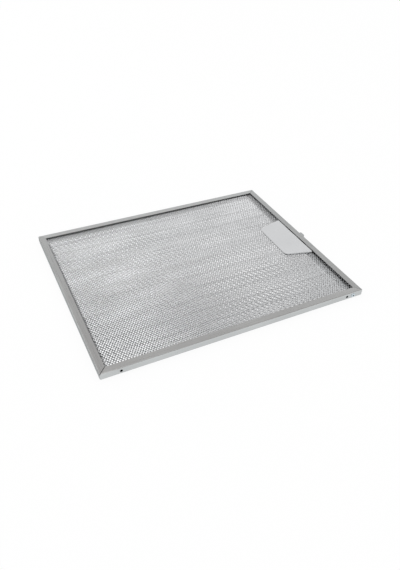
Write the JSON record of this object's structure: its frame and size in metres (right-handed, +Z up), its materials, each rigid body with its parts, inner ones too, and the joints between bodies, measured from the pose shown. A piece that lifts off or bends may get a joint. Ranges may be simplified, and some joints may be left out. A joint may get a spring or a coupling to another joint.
{
  "type": "cooker hood grease filter",
  "caption": "Flat rectangular grease filter for a cooker hood: a folded aluminium frame round layers of expanded mesh, with a sliding spring latch and handle at a short side.",
  "frame": {"origin": "the middle of the frame's footprint, on the plane that its lower lip lies on", "axes": "X along the long side with the latch tongue pointing to +X, Y along the short side with the riveted wall at -Y, Z up through the mesh"},
  "size_m": [0.324, 0.2609, 0.008],
  "materials": {
    "frame_aluminium": "satin mill finish",
    "rivet_metal": "bright",
    "mandrel_metal": "dull",
    "mesh_aluminium": "bright expanded strands",
    "handle_plastic": "satin",
    "bolt_plastic": "satin",
    "tray_plastic": "satin",
    "spring_metal": "rolled"
  },
  "bodies": {
    "filter": {"frame": "frame_aluminium", "frame_rivet": "rivet_metal", "rivet_mandrel": "mandrel_metal", "top_mesh": "mesh_aluminium", "inner_mesh_1": "mesh_aluminium", "inner_mesh_2": "mesh_aluminium", "inner_mesh_3": "mesh_aluminium", "bottom_mesh": "mesh_aluminium", "latch_tray": "tray_plastic", "latch_spring": "spring_metal"},
    "latch": {"latch_handle": "handle_plastic", "latch_bolt": "bolt_plastic"}
  },
  "joints": [
    {"name": "latch_slide", "type": "slide", "parent": "filter", "child": "latch", "axis": [-1, 0, 0], "range_m": [0, 0.004], "stiffness_N_per_m": 400, "springref_m": -0.0075, "deforming": ["latch_spring"]}
  ]
}
